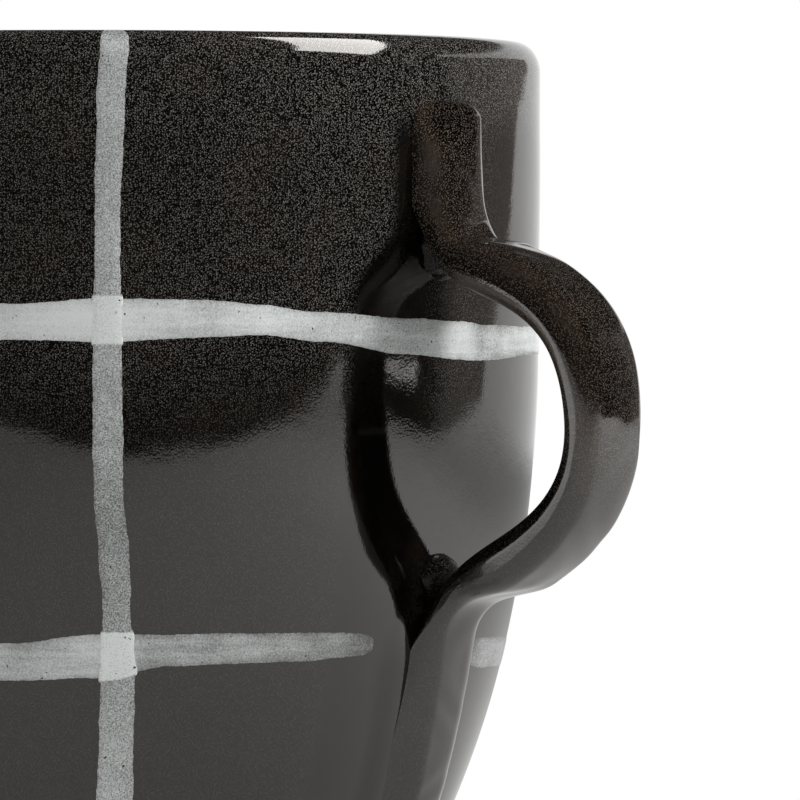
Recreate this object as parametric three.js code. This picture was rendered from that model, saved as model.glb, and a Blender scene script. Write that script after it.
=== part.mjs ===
// Stoneware milk jug: one thrown body with a pulled pouring lip, a bent strap handle that is
// luted to the wall with slip, and a windowpane check of brushed rings and uprights.
// The jug's axis is Z, the foot stands on Z = 0, the handle points along +X and the lip along -X.
import * as THREE from 'three';

const { clamp, degToRad, lerp, smoothstep } = THREE.MathUtils;

// Driving dimensions: lengths in millimetres, angles in degrees

// Body
const BODY_RADIUS = 50;
const BODY_HEIGHT = 100;
const WIDEST_HEIGHT = 66.8;
const FOOT_RADIUS = 31.3;
const FOOT_EDGE = 2;
const WALL = 4;
const FLOOR = 6;
const FLOOR_CORNER = 7;
const LIP_ROLL = 2.6;
const LIP_DROP = 3.4;
const INNER_LIP_DROP = 1.8;

// Pouring lip, pulled out of the rim opposite the handle
const SPOUT_REACH = 8;
const SPOUT_LIFT = 1.5;
const SPOUT_LENGTH = 26;
const SPOUT_HALF_ANGLE = 27;

// Strap handle: two flat tabs on the wall and a loop for one finger between them
const STRAP_WIDTH = 10.8;
const UPPER_TAB_WIDTH = 10.3;
const LOWER_TAB_WIDTH = 9.3;
const STRAP_THICKNESS = 4.5;
const ARM_THICKNESS = 5.5;
const ARM_RUN = 11;
const STRAP_CORNER = 1.1;
const TAB_THICKNESS = 2;
const TAB_CORNER = 2.2;
const TAB_END_THICKNESS = 0.7;
const UPPER_SWELL_BEFORE = 4;
const UPPER_SWELL_AFTER = 8.5;
const LOWER_SWELL_BEFORE = 13;
const LOWER_SWELL_AFTER = 1;
const UPPER_TAB_DROP = 7;
const UPPER_TAB_LENGTH = 14.6;
const UPPER_ELBOW_PULL = 8.5;
const UPPER_LOOP_PULL = 13.8;
const FINGER_ROOM = 17.35;
const LOOP_DROP = 18.1;
const LOWER_LOOP_PULL = 15.5;
const LOWER_ELBOW_PULL = 10;
const LOWER_ELBOW = 37.5;
const LOWER_TAB_END = 8;
const UPPER_SEAT_ANGLE = -2.2;
const LOWER_SEAT_ANGLE = 7.1;
const LEAN_EASE = 1.6;

// Slip joints between the tabs and the wall
const SLIP_THICKNESS = 0.45;
const SLIP_MARGIN = 0.8;
const SLIP_FEATHER = 0.6;
const SEAT_GAP = 0.15;

// Brushed strokes
const PAINT_THICKNESS = 0.2;
const PAINT_GAP = 0.12;
const PAINT_FEATHER = 0.5;
const RING_WIDTH = 4.4;
const RING_DRIFT = 1.1;
const RING_WAVES = 3;
const UPPER_RING_DROP = 31.9;
const UPPER_RING_PHASE = 45;
const LOWER_RING_HEIGHT = 33.9;
const LOWER_RING_PHASE = 20;
const RING_BREAK = 12.5;
const UPRIGHT_WIDTH = 3.8;
const UPRIGHT_COUNT = 7;
const UPRIGHT_CLEAR_ANGLE = 48.9;
const UPRIGHT_SWAY = 1;
const UPRIGHT_SWAY_LENGTH = 50;
const UPRIGHT_BOTTOM = 5;
const UPRIGHT_RIM_GAP = 0.3;
const BRIDGE_RUN = 3;

// Facets
const TURN_SEGMENTS = 72;
const UPPER_TAB_STEPS = 10;
const LOOP_STEPS = 44;
const LOWER_TAB_STEPS = 14;
const UPRIGHT_STEPS = 36;
const UPRIGHT_DIVISIONS = 2;
const SLIP_STEPS = 12;
const SLIP_DIVISIONS = 4;
const CORNER_SEGMENTS = 2;
const EDGE_ROWS = 3;
const BELLY_ROWS = 11;
const INNER_BELLY_ROWS = 7;
const SPOUT_ROWS = 7;
const LIP_ROWS = 5;
const END_CROWDING = 0.6;
const SLOPE_PROBE = 0.01;

// Colours
const GLAZE = { color: 0x2a2623, roughness: 0.18, metalness: 0 };
const SLIP = { color: 0x1d1a18, roughness: 0.3, metalness: 0 };
const BRUSHWORK = { color: 0xc4c6c4, roughness: 0.45, metalness: 0 };

const lipStart = BODY_HEIGHT - LIP_DROP;
const upperTabTop = BODY_HEIGHT - UPPER_TAB_DROP;
const upperElbow = upperTabTop - UPPER_TAB_LENGTH;
const loopMiddle = upperElbow - LOOP_DROP;
const bellyDepth = WIDEST_HEIGHT / Math.sqrt(1 - (FOOT_RADIUS / BODY_RADIUS) ** 2);
const seat = SEAT_GAP + SLIP_THICKNESS + SEAT_GAP;
const bridge = PAINT_THICKNESS + PAINT_GAP;

// Outer radius of the round wall: an ellipse from the foot to the widest height, then upright to the
// rim, where the edge rolls over.
function wallRadius(height) {
  if (height < WIDEST_HEIGHT) {
    return BODY_RADIUS * Math.sqrt(1 - ((WIDEST_HEIGHT - height) / bellyDepth) ** 2);
  }
  const roll = clamp((height - lipStart) / LIP_DROP, 0, 1);
  return BODY_RADIUS - LIP_ROLL * (1 - Math.sqrt(1 - roll * roll));
}

// Point of the wall's profile, moved out along the wall's normal: x is the radius and y the height.
function wallPoint(height, offset) {
  const rise = wallRadius(height + SLOPE_PROBE) - wallRadius(height - SLOPE_PROBE);
  const slope = rise / (2 * SLOPE_PROBE);
  const normal = new THREE.Vector2(1, -slope).normalize();
  return new THREE.Vector2(wallRadius(height), height).addScaledVector(normal, offset);
}

// Line that follows the wall at a fixed offset from one height to another
class WallLine extends THREE.Curve {
  constructor(from, to, offset) {
    super();
    this.from = from;
    this.to = to;
    this.offset = offset;
  }

  getPoint(share) {
    return wallPoint(lerp(this.from, this.to, share), this.offset);
  }
}

function pathOf(...curves) {
  const path = new THREE.CurvePath();
  curves.forEach((curve) => path.add(curve));
  return path;
}

function mapVertices(geometry, move) {
  const position = geometry.attributes.position;
  const vertex = new THREE.Vector3();
  for (let i = 0; i < position.count; i += 1) {
    move(vertex.fromBufferAttribute(position, i));
    position.setXYZ(i, vertex.x, vertex.y, vertex.z);
  }
  geometry.computeVertexNormals();
  return geometry;
}

// Draws the rim out and up around the pouring direction, most at the top edge
function pullLip(vertex) {
  const radius = Math.hypot(vertex.x, vertex.y);
  const turn = Math.atan2(vertex.y, -vertex.x);
  const side = clamp(turn / degToRad(SPOUT_HALF_ANGLE), -1, 1);
  const lobe = Math.cos((side * Math.PI) / 2) ** 2;
  const pull = lobe * clamp(1 - (BODY_HEIGHT - vertex.z) / SPOUT_LENGTH, 0, 1) ** 2;
  if (radius > 0) {
    vertex.x *= 1 + (SPOUT_REACH * pull) / radius;
    vertex.y *= 1 + (SPOUT_REACH * pull) / radius;
  }
  vertex.z += SPOUT_LIFT * pull;
}

// Shares along a swept piece, crowded towards both ends where the outline is round
function crowdEnds(share) {
  return share - (END_CROWDING * Math.sin(2 * Math.PI * share)) / (2 * Math.PI);
}

// Shares at the middles of even steps
function stepMiddles(count) {
  return Array.from({ length: count }, (_, i) => (i + 0.5) / count);
}

function quarterRound(share) {
  return Math.sqrt(1 - (1 - clamp(share, 0, 1)) ** 2);
}

// Bends a straight unit blank along a path and wraps it round the jug's axis. The blank's x is its share
// of the width, y its share of the thickness out from the path and z its share of the length.
function sweep(blank, path, { width, thickness, angle, lift = () => 0, feather = 0, pace = crowdEnds }) {
  const length = path.getLength();
  return mapVertices(blank, (vertex) => {
    const share = pace(vertex.z);
    const along = share * length;
    const end = Math.min(along, length - along);
    const centre = path.getPoint(share);
    const tangent = path.getTangent(share);
    const out = lift(centre.y) + vertex.y * thickness(along, end);
    const radius = centre.x - tangent.y * out;
    const height = centre.y + tangent.x * out;
    const across = vertex.x * (width(along, end) - 2 * feather * vertex.y);
    const turn = degToRad(angle(height)) + across / radius;
    vertex.set(radius * Math.cos(turn), radius * Math.sin(turn), height);
  });
}

// Width of a tab, which narrows round its corners towards its end
function tabWidth(width, end) {
  return width - 2 * TAB_CORNER * (1 - quarterRound(end / TAB_CORNER));
}

function strip(steps, divisions) {
  return new THREE.BoxGeometry(1, 1, 1, divisions, 1, steps).translate(0, 0.5, 0.5);
}

// The handle leans: its turn round the axis grows from the upper tab's end to the lower one's
function leanAt(height) {
  const share = clamp((upperTabTop - height) / (upperTabTop - LOWER_TAB_END), 0, 1);
  return lerp(UPPER_SEAT_ANGLE, LOWER_SEAT_ANGLE, share ** LEAN_EASE);
}

function jugBody() {
  const innerRadius = BODY_RADIUS - WALL;
  const innerDepth = bellyDepth - WALL;
  const rimCrest = BODY_RADIUS - LIP_ROLL;
  const innerLipStart = BODY_HEIGHT - INNER_LIP_DROP;
  const cornerTop = FLOOR + FLOOR_CORNER;
  const footAngle = -Math.asin((WIDEST_HEIGHT - FOOT_EDGE) / bellyDepth);
  const cornerAngle = -Math.asin((WIDEST_HEIGHT - cornerTop) / innerDepth);
  const cornerRadius = innerRadius * Math.cos(cornerAngle);
  const spoutStart = BODY_HEIGHT - SPOUT_LENGTH;
  const quarter = Math.PI / 2;
  const point = (radius, height) => new THREE.Vector2(radius, height);
  const arc = (x, y, rx, ry, from, to) => new THREE.EllipseCurve(x, y, rx, ry, from, to, to < from);
  const rows = [
    [new THREE.LineCurve(point(0, 0), point(FOOT_RADIUS - FOOT_EDGE, 0)), 1],
    [new THREE.QuadraticBezierCurve(
      point(FOOT_RADIUS - FOOT_EDGE, 0),
      point(FOOT_RADIUS, 0),
      point(wallRadius(FOOT_EDGE), FOOT_EDGE),
    ), EDGE_ROWS],
    [arc(0, WIDEST_HEIGHT, BODY_RADIUS, bellyDepth, footAngle, 0), BELLY_ROWS],
    [new THREE.LineCurve(point(BODY_RADIUS, WIDEST_HEIGHT), point(BODY_RADIUS, spoutStart)), 1],
    [new THREE.LineCurve(point(BODY_RADIUS, spoutStart), point(BODY_RADIUS, lipStart)), SPOUT_ROWS],
    [arc(rimCrest, lipStart, LIP_ROLL, LIP_DROP, 0, quarter), LIP_ROWS],
    [arc(rimCrest, innerLipStart, rimCrest - innerRadius, INNER_LIP_DROP, quarter, 2 * quarter), EDGE_ROWS],
    [new THREE.LineCurve(point(innerRadius, innerLipStart), point(innerRadius, spoutStart)), SPOUT_ROWS],
    [new THREE.LineCurve(point(innerRadius, spoutStart), point(innerRadius, WIDEST_HEIGHT)), 1],
    [arc(0, WIDEST_HEIGHT, innerRadius, innerDepth, 0, cornerAngle), INNER_BELLY_ROWS],
    [new THREE.QuadraticBezierCurve(
      point(cornerRadius, cornerTop),
      point(cornerRadius - FLOOR_CORNER / 2, FLOOR),
      point(cornerRadius - FLOOR_CORNER, FLOOR),
    ), EDGE_ROWS],
    [new THREE.LineCurve(point(cornerRadius - FLOOR_CORNER, FLOOR), point(0, FLOOR)), 1],
  ];
  const profile = rows.flatMap(([curve, count], i) => curve.getPoints(count).slice(i === 0 ? 0 : 1));
  const turned = new THREE.LatheGeometry(profile, TURN_SEGMENTS).rotateX(Math.PI / 2);
  return mapVertices(turned, pullLip);
}

// Cross-section of the strap as a unit shape with elliptical corners, which are round at full size. The
// point in the middle of the inner face lets the tabs bend round the wall.
function strapSection() {
  const rx = STRAP_CORNER / STRAP_WIDTH;
  const ry = STRAP_CORNER / STRAP_THICKNESS;
  const quarter = Math.PI / 2;
  const corners = [[0.5 - rx, ry], [0.5 - rx, 1 - ry], [rx - 0.5, 1 - ry], [rx - 0.5, ry]];
  const section = new THREE.Shape();
  corners.forEach(([x, y], i) => section.absellipse(x, y, rx, ry, (i - 1) * quarter, i * quarter));
  section.lineTo(0, 0);
  return section;
}

function strapHandle() {
  const loopRadius = BODY_RADIUS + FINGER_ROOM;
  const upperSeat = wallPoint(upperElbow, seat);
  const lowerSeat = wallPoint(LOWER_ELBOW, seat);
  const loopPoint = new THREE.Vector2(loopRadius, loopMiddle);
  const lowerTab = new WallLine(LOWER_ELBOW, LOWER_TAB_END, seat);
  const upperTab = new WallLine(upperTabTop, upperElbow, seat);
  const path = pathOf(
    upperTab,
    new THREE.CubicBezierCurve(
      upperSeat,
      upperSeat.clone().addScaledVector(upperTab.getTangent(1), UPPER_ELBOW_PULL),
      new THREE.Vector2(loopRadius, loopMiddle + UPPER_LOOP_PULL),
      loopPoint,
    ),
    new THREE.CubicBezierCurve(
      loopPoint,
      new THREE.Vector2(loopRadius, loopMiddle - LOWER_LOOP_PULL),
      lowerSeat.clone().addScaledVector(lowerTab.getTangent(0), -LOWER_ELBOW_PULL),
      lowerSeat,
    ),
    lowerTab,
  );
  const [loopStart, , loopEnd, length] = path.getCurveLengths();
  const marks = [
    0,
    ...stepMiddles(UPPER_TAB_STEPS).map((share) => loopStart * share ** 2),
    ...stepMiddles(LOOP_STEPS).map((share) => lerp(loopStart, loopEnd, share)),
    ...stepMiddles(LOWER_TAB_STEPS).map((share) => lerp(length, loopEnd, (1 - share) ** 2)),
    length,
  ];
  const steps = marks.length - 1;
  const rise = (along) => smoothstep(along, loopStart - UPPER_SWELL_BEFORE, loopStart + UPPER_SWELL_AFTER);
  const fall = (along) => smoothstep(along, loopEnd - LOWER_SWELL_BEFORE, loopEnd + LOWER_SWELL_AFTER);
  const blank = new THREE.ExtrudeGeometry(strapSection(), {
    depth: 1,
    steps,
    bevelEnabled: false,
    curveSegments: CORNER_SEGMENTS,
  });
  return sweep(blank, path, {
    pace: (share) => marks[Math.round(share * steps)] / length,
    angle: leanAt,
    width: (along, end) => {
      const upper = lerp(UPPER_TAB_WIDTH, STRAP_WIDTH, rise(along));
      return tabWidth(lerp(upper, LOWER_TAB_WIDTH, fall(along)), end);
    },
    thickness: (along, end) => {
      const inside = Math.min(along - loopStart, loopEnd - along);
      const middle = smoothstep(inside, ARM_RUN, (loopEnd - loopStart) / 2);
      const strap = lerp(ARM_THICKNESS, STRAP_THICKNESS, middle);
      const full = lerp(TAB_THICKNESS, strap, rise(along) * (1 - fall(along)));
      return lerp(TAB_END_THICKNESS, full, quarterRound(end / TAB_CORNER));
    },
  });
}

// Slip that squeezes out a little all round the tab that it holds
function slipJoint(top, bottom, width) {
  const path = pathOf(new WallLine(top + SLIP_MARGIN, bottom - SLIP_MARGIN, SEAT_GAP));
  return sweep(strip(SLIP_STEPS, SLIP_DIVISIONS), path, {
    angle: leanAt,
    width: (along, end) => tabWidth(width + 2 * SLIP_MARGIN, end),
    thickness: () => SLIP_THICKNESS,
    feather: SLIP_FEATHER,
  });
}

// Height of a hand-drawn ring, which drifts up and down as it goes round
function ringHeight(ring, turn) {
  return ring.height + RING_DRIFT * Math.cos(RING_WAVES * (turn + degToRad(ring.phase)));
}

const upperRing = { height: BODY_HEIGHT - UPPER_RING_DROP, phase: UPPER_RING_PHASE };
const lowerRing = { height: LOWER_RING_HEIGHT, phase: LOWER_RING_PHASE };

// Places a point of a ring on the wall, from its turn and its shares of the width and the thickness
function placeOnRing(vertex, ring, turn, across, through, width) {
  const height = ringHeight(ring, turn) + across * (width - 2 * PAINT_FEATHER * through);
  const spot = wallPoint(height, PAINT_GAP + through * PAINT_THICKNESS);
  vertex.set(spot.x * Math.cos(turn), spot.x * Math.sin(turn), spot.y);
}

// Ring with no break: a unit section turned right round the axis
function closedRing(ring) {
  const section = [[1, -0.5], [2, -0.5], [2, 0.5], [1, 0.5], [1, -0.5]];
  const profile = section.map(([radius, height]) => new THREE.Vector2(radius, height));
  const turned = new THREE.LatheGeometry(profile, TURN_SEGMENTS).rotateX(Math.PI / 2);
  return mapVertices(turned, (vertex) => {
    const turn = Math.atan2(vertex.y, vertex.x);
    const through = Math.hypot(vertex.x, vertex.y) - 1;
    placeOnRing(vertex, ring, turn, vertex.z, through, RING_WIDTH);
    pullLip(vertex);
  });
}

// Ring that stops short of the handle's tab on both sides, with round ends
function brokenRing(ring) {
  const tab = leanAt(ring.height);
  const from = degToRad(tab + RING_BREAK);
  const to = degToRad(tab + 360 - RING_BREAK);
  const roundEnd = RING_WIDTH / 2 / BODY_RADIUS;
  return mapVertices(strip(TURN_SEGMENTS, 1), (vertex) => {
    const turn = lerp(from, to, crowdEnds(vertex.z));
    const end = Math.min(turn - from, to - turn);
    const width = lerp(RING_WIDTH / 2, RING_WIDTH, quarterRound(end / roundEnd));
    placeOnRing(vertex, ring, turn, vertex.x, vertex.y, width);
  });
}

// Upright that is brushed from the rim to the foot, passes over both rings and sways a little
function upright(angle) {
  const overRing = (ring, height) => {
    const away = Math.abs(height - ringHeight(ring, degToRad(angle)));
    const edge = RING_WIDTH / 2 + BRIDGE_RUN;
    return 1 - smoothstep(away, edge, edge + BRIDGE_RUN);
  };
  const path = pathOf(new WallLine(BODY_HEIGHT - UPRIGHT_RIM_GAP, UPRIGHT_BOTTOM, PAINT_GAP));
  const stroke = sweep(strip(UPRIGHT_STEPS, UPRIGHT_DIVISIONS), path, {
    angle: (height) => {
      const sway = Math.cos((Math.PI * (height - WIDEST_HEIGHT)) / UPRIGHT_SWAY_LENGTH);
      return angle - UPRIGHT_SWAY * sway;
    },
    lift: (height) => bridge * Math.max(overRing(upperRing, height), overRing(lowerRing, height)),
    width: () => UPRIGHT_WIDTH,
    thickness: () => PAINT_THICKNESS,
    feather: PAINT_FEATHER,
  });
  return mapVertices(stroke, pullLip);
}

const jug = new THREE.Group();

function addPiece(name, geometry, finish) {
  const mesh = new THREE.Mesh(geometry, new THREE.MeshStandardMaterial(finish));
  mesh.name = name;
  jug.add(mesh);
}

addPiece('jug_body', jugBody(), GLAZE);
addPiece('strap_handle', strapHandle(), GLAZE);
addPiece('upper_slip_joint', slipJoint(upperTabTop, upperElbow, UPPER_TAB_WIDTH), SLIP);
addPiece('lower_slip_joint', slipJoint(LOWER_ELBOW, LOWER_TAB_END, LOWER_TAB_WIDTH), SLIP);
addPiece('upper_ring_stroke', closedRing(upperRing), BRUSHWORK);
addPiece('lower_ring_stroke', brokenRing(lowerRing), BRUSHWORK);

const uprightPitch = (360 - 2 * UPRIGHT_CLEAR_ANGLE) / (UPRIGHT_COUNT - 1);
for (let i = 0; i < UPRIGHT_COUNT; i += 1) {
  addPiece(`upright_stroke_${i + 1}`, upright(UPRIGHT_CLEAR_ANGLE + i * uprightPitch), BRUSHWORK);
}

export default jug;
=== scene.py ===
"""Milk jug: the finished surfaces of a glazed stoneware jug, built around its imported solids.

The jug's axis is Z, the foot stands on Z = 0, the handle points along +X and the pouring lip along -X.
Sizes are in millimetres until a grid of points becomes a mesh, which is in metres, as the studio is.
"""

import logging
import math
from dataclasses import dataclass, field
from enum import Enum

import bpy
import numpy as np
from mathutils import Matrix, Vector


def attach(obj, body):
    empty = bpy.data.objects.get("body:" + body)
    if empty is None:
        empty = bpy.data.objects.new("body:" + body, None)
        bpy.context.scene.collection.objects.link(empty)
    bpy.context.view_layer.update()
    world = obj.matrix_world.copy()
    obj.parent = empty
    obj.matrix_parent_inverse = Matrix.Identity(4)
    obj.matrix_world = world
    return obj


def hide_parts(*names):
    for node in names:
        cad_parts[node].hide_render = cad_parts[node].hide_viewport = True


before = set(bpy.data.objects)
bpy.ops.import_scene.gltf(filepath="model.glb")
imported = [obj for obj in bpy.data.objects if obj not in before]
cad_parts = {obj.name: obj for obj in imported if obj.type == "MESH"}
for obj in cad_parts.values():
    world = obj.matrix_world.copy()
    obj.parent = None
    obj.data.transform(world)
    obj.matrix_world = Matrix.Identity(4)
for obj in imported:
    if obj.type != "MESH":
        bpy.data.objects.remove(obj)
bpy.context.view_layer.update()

LOG = logging.getLogger("milk_jug")
MM = 0.001
TINY = 1e-4
BODY = "root"
WHITE = (1.0, 1.0, 1.0, 1.0)

Array = np.ndarray
Object = bpy.types.Object
Material = bpy.types.Material
Node = bpy.types.Node
Socket = bpy.types.NodeSocket
Values = tuple[float, ...]
Pair = tuple[float, float]
Triple = tuple[float, float, float]
Colour = tuple[float, float, float, float]
Line = tuple[Pair, ...]
Waves = tuple[tuple[int, ...], int]


class Slot(Enum):
    """The record's material slots."""

    BODY = "dark_glaze"
    HANDLE = "handle_glaze"
    SLIP = "slip"
    STROKE = "pale_brushwork"


class Run(Enum):
    """The way that a brushed stroke runs."""

    ROUND = "round"
    UP = "up"


# Shapes in numbers


def smoothstep(value: Array, low: float, high: float) -> Array:
    """Eases from 0 at low to 1 at high: 3 s squared less 2 s cubed, where s is the share of the way."""
    share = np.clip((value - low) / (high - low), 0.0, 1.0)
    return share * share * (3.0 - 2.0 * share)


def mix(first: Array | float, second: Array | float, share: Array) -> Array:
    """Goes a share of the way from the first value to the second."""
    return first + (second - first) * share


def quarter_round(share: Array) -> Array:
    """Rises from 0 to 1 as a quarter circle does: the root of 1 less (1 - share) squared."""
    return np.sqrt(1.0 - (1.0 - np.clip(share, 0.0, 1.0)) ** 2)


def ease_through(at: Array, knots: Values, values: Values) -> Array:
    """Eases from knot to knot, each stretch along half a cosine wave, level at and beyond the end knots."""
    places, heights = np.array(knots), np.array(values)
    index = np.clip(np.searchsorted(places, at, side="right") - 1, 0, len(knots) - 2)
    share = np.clip((at - places[index]) / (places[index + 1] - places[index]), 0.0, 1.0)
    return mix(heights[index], heights[index + 1], (1.0 - np.cos(np.pi * share)) / 2.0)


def ripple(at: Array, span: float, counts: tuple[int, ...], seed: int) -> Array:
    """Sums sine waves that each go a whole number of times into a span.

    Each wave has a random phase of its own and a height of one over the root of its count. The sum is scaled
    so that it is 1 at most.

    Args:
        at: Where the sum is wanted.
        span: The length after which the sum repeats.
        counts: How many times each wave goes into the span.
        seed: Seed of the phases.

    Returns:
        The sum, between -1 and 1.
    """
    phases = np.random.default_rng(seed).uniform(0.0, 2.0 * np.pi, len(counts))
    heights = 1.0 / np.sqrt(np.array(counts, float))
    waves = np.sin(2.0 * np.pi * np.multiply.outer(at, np.array(counts)) / span + phases)
    return waves @ heights / heights.sum()


def sine_waves(waves: tuple[Values, ...], first: Array, second: Array) -> Array:
    """Sums sines of two values, each given by its height, its turns per unit of the two, and its phase."""
    return sum(high * np.sin(a * first + b * second + phase) for high, a, b, phase in waves)


def round_axis(radius: Array, turn: Array, height: Array) -> Array:
    """Points at a radius, a turn round the axis and a height, with x, y and z last."""
    return np.stack(np.broadcast_arrays(radius * np.cos(turn), radius * np.sin(turn), height), -1)


def curve(points: tuple, count: int) -> Array:
    """Points of a smooth curve: the sum of its guiding points, weighted by the terms of a binomial power."""
    share = np.linspace(0.0, 1.0, count)[:, None]
    last = len(points) - 1
    terms = [math.comb(last, i) * share**i * (1.0 - share) ** (last - i) for i in range(last + 1)]
    return sum(term * np.asarray(point) for term, point in zip(terms, points))


def surface(
    name: str,
    points: Array,
    wrap_rows: bool = False,
    wrap_columns: bool = False,
    poles: Array | None = None,
    values: dict[str, Array] | None = None,
) -> Object:
    """Makes a smooth mesh object of a grid of points, with its faces turned outwards.

    Neighbouring points of the grid are joined by quads, and a pole closes the first or last row with a fan.
    The faces are turned if the volume that they enclose comes out negative.

    Args:
        name: Name of the object and its mesh.
        points: Rows by columns by 3, in millimetres.
        wrap_rows: Whether the last row joins the first.
        wrap_columns: Whether the last column joins the first.
        poles: Points that close the first and the last row.
        values: Values at each point of the grid, by attribute name.

    Returns:
        The new object, at the origin.
    """
    rows, columns = points.shape[:2]
    index = np.arange(rows * columns).reshape(rows, columns)
    if wrap_rows:
        index = np.vstack([index, index[:1]])
    if wrap_columns:
        index = np.hstack([index, index[:, :1]])
    quads = np.stack([index[:-1, :-1], index[:-1, 1:], index[1:, 1:], index[1:, :-1]], -1).reshape(-1, 4)
    vertices = points.reshape(-1, 3)
    fans = np.zeros((0, 3), int)
    if poles is not None:
        first, last = rows * columns, rows * columns + 1
        vertices = np.vstack([vertices, poles])
        top, bottom = index[0], index[-1]
        fans = np.vstack([
            np.stack([np.full(len(top) - 1, first), top[1:], top[:-1]], -1),
            np.stack([np.full(len(bottom) - 1, last), bottom[:-1], bottom[1:]], -1),
        ])
    corners = np.vstack([quads[:, [0, 1, 2]], quads[:, [0, 2, 3]], fans])
    a, b, c = (vertices[corners[:, i]] for i in range(3))
    if np.einsum("ij,ij->", a, np.cross(b, c)) < 0:
        quads, fans = quads[:, ::-1], fans[:, ::-1]
    mesh = bpy.data.meshes.new(name)
    mesh.from_pydata((vertices * MM).tolist(), [], quads.tolist() + fans.tolist())
    mesh.shade_smooth()
    for key, grid in (values or {}).items():
        ends = [grid[0].mean(), grid[-1].mean()] if poles is not None else []
        attribute = mesh.attributes.new(key, "FLOAT", "POINT")
        attribute.data.foreach_set("value", np.append(grid.ravel(), ends).astype(np.float32))
    mesh.update()
    made = bpy.data.objects.new(name, mesh)
    bpy.context.scene.collection.objects.link(made)
    return made


def shell(name: str, upper: Array, lower: Array, values: dict[str, Array], closed: bool = False) -> Object:
    """Joins a face and its underside, rows by columns, into one shell.

    Args:
        name: Name of the object.
        upper: Points of the face.
        lower: Points of the underside.
        values: Values at each point of the face, which the underside takes too.
        closed: Whether the last row joins the first. If not, a pole closes each end.

    Returns:
        The shell.
    """
    points = np.concatenate([upper, lower[:, -2:0:-1]], axis=1)
    values = {key: np.concatenate([grid, grid[:, -2:0:-1]], axis=1) for key, grid in values.items()}
    poles = None if closed else points[[0, -1]].mean(axis=1)
    return surface(name, points, wrap_rows=closed, wrap_columns=True, poles=poles, values=values)


def seat_piece(made: Object, material: Material, node: str) -> None:
    """Dresses a finished piece and lets it stand for its solid.

    Args:
        made: The piece.
        material: The piece's material.
        node: The solid that it stands for.
    """
    made.data.materials.append(material)
    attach(made, BODY)
    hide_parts(node)
    LOG.info("%s: %d faces", made.name, len(made.data.polygons))


# Finishes


class Sketch:
    """A node tree that is filled node by node."""

    def __init__(self, tree: bpy.types.NodeTree) -> None:
        """Starts from an empty tree."""
        self.tree = tree
        tree.nodes.clear()

    def node(self, kind: str, inputs: dict | None = None, **settings: object) -> Node:
        """Adds a node.

        Args:
            kind: Type of the node.
            inputs: Constants to set or sockets to link, by the input's name or number.
            settings: Properties of the node.

        Returns:
            The new node.
        """
        made = self.tree.nodes.new(kind)
        for key, value in settings.items():
            setattr(made, key, value)
        for key, value in (inputs or {}).items():
            if isinstance(value, Socket):
                self.tree.links.new(value, made.inputs[key])
            else:
                made.inputs[key].default_value = value
        return made

    def math(self, operation: str, *terms: Socket | float) -> Socket:
        """A sum, product or other operation on up to three values."""
        return self.node("ShaderNodeMath", dict(enumerate(terms)), operation=operation).outputs[0]

    def times(self, *terms: Socket | float) -> Socket:
        """The product of two values."""
        return self.math("MULTIPLY", *terms)

    def dot(self, vector: Socket, axis: Triple) -> Socket:
        """How far a vector goes along an axis."""
        made = self.node("ShaderNodeVectorMath", {0: vector, 1: axis}, operation="DOT_PRODUCT")
        return made.outputs["Value"]

    def noise(self, vector: Socket, scale: float, detail: float = 2.0, rough: float = 0.5) -> Socket:
        """Noise between about 0 and 1, with its mean at a half."""
        inputs = {"Vector": vector, "Scale": scale, "Detail": detail, "Roughness": rough}
        return self.node("ShaderNodeTexNoise", inputs).outputs[0]

    def ramp(self, value: Socket, low: float, high: float, start: float = 0.0, end: float = 1.0) -> Socket:
        """Eases from start to end while a value goes from low to high."""
        inputs = {0: value, 1: low, 2: high, 3: start, 4: end}
        return self.node("ShaderNodeMapRange", inputs, interpolation_type="SMOOTHSTEP").outputs[0]

    def blend(self, share: Socket, first: Socket | Colour, second: Socket | Colour) -> Socket:
        """Blends two colours."""
        return self.node("ShaderNodeMix", {0: share, 6: first, 7: second}, data_type="RGBA").outputs[2]

    def bump(self, height: Socket, distance: float, normal: Socket | None = None) -> Socket:
        """Bumps a normal by a height that is scaled to a distance in metres."""
        inputs = {"Strength": 1.0, "Distance": distance, "Height": height}
        if normal is not None:
            inputs["Normal"] = normal
        return self.node("ShaderNodeBump", inputs).outputs[0]

    def object_place(self) -> Socket:
        """The place on the object, in metres."""
        return self.node("ShaderNodeTexCoord").outputs["Object"]

    def value_of(self, attribute: str) -> Socket:
        """A value that the mesh carries at its points."""
        return self.node("ShaderNodeAttribute", attribute_name=attribute).outputs["Fac"]

    def glow(self, colour: Socket | Colour, strength: Socket | float) -> Node:
        """A surface that shines by itself."""
        return self.node("ShaderNodeEmission", {"Color": colour, "Strength": strength})

    def gloss(self, **inputs: object) -> Node:
        """A glossy surface, its inputs named with an underscore for each space."""
        named = {key.replace("_", " "): value for key, value in inputs.items()}
        return self.node("ShaderNodeBsdfPrincipled", named)

    def finish(self, shader: Node) -> None:
        """Links a shader to the material's output."""
        self.node("ShaderNodeOutputMaterial", {"Surface": shader.outputs[0]})


def new_material(name: str) -> tuple[Material, Sketch]:
    """Makes a material with an empty node tree."""
    material = bpy.data.materials.new(name)
    material.use_nodes = True
    return material, Sketch(material.node_tree)


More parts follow.
